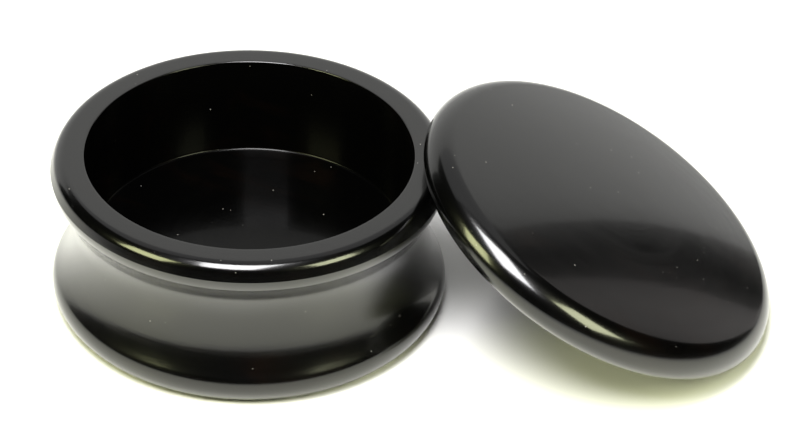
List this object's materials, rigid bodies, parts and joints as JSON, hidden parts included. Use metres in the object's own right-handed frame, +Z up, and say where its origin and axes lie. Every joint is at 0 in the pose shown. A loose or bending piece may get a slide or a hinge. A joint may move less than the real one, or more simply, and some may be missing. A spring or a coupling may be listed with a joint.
{
  "type": "go stone bowl",
  "caption": "Low waisted go stone bowl in black lacquered wood, with a thick domed lid leaning against its flat rim.",
  "frame": {"origin": "centre of the bowl's foot, on the surface it stands on", "axes": "+Z up along the bowl's axis, +X toward the leaning lid"},
  "size_m": [0.2754, 0.1508, 0.0789],
  "materials": {
    "bowl_lacquer": "polished black lacquer over turned wood",
    "lid_lacquer": "polished black lacquer over turned wood"
  },
  "bodies": {
    "bowl": {"bowl": "bowl_lacquer"},
    "lid": {"lid": "lid_lacquer"}
  },
  "joints": [
    {"name": "lid_lift", "type": "slide", "parent": "bowl", "child": "lid", "axis": [0, 0, 1], "range_m": [0, 0.08]}
  ]
}
